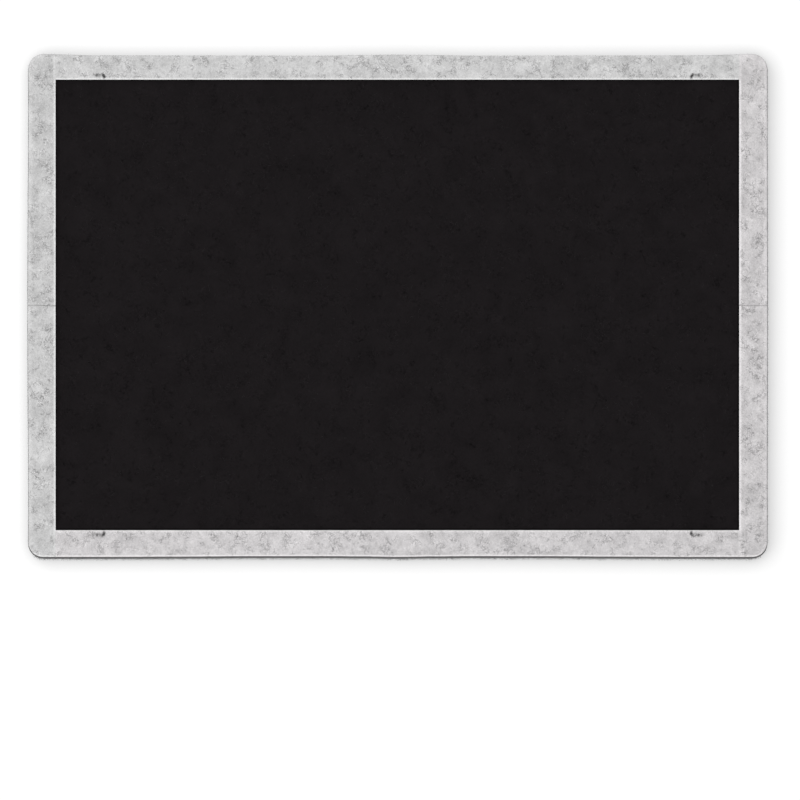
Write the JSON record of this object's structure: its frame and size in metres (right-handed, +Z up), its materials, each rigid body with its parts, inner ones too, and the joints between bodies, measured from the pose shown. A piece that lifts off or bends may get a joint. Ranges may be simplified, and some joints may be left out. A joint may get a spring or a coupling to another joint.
{
  "type": "message board",
  "caption": "Wall-hung felt pin-up board: a rectangular black felt panel edged with butt-jointed strips of light grey marled felt, with rounded corners and foam wall pads.",
  "frame": {"origin": "middle of the wall side of the centre foam pad, on the wall plane", "axes": "+X along the board's width, to the right as its front is seen; +Y into the wall, so the front faces -Y; +Z up"},
  "size_m": [0.44, 0.0132, 0.3],
  "materials": {
    "black_felt": "matte compressed felt",
    "grey_felt": "matte marled felt",
    "adhesive": "thin double-sided film",
    "foam_pad": "closed-cell foam tape"
  },
  "bodies": {
    "root": {"base_panel": "black_felt", "top_rail": "grey_felt", "bottom_rail": "grey_felt", "left_stile_upper": "grey_felt", "left_stile_lower": "grey_felt", "right_stile_upper": "grey_felt", "right_stile_lower": "grey_felt", "top_rail_adhesive": "adhesive", "bottom_rail_adhesive": "adhesive", "left_stile_upper_adhesive": "adhesive", "left_stile_lower_adhesive": "adhesive", "right_stile_upper_adhesive": "adhesive", "right_stile_lower_adhesive": "adhesive", "wall_pad_centre": "foam_pad", "wall_pad_upper_left": "foam_pad", "wall_pad_upper_right": "foam_pad", "wall_pad_lower_left": "foam_pad", "wall_pad_lower_right": "foam_pad"}
  },
  "joints": []
}
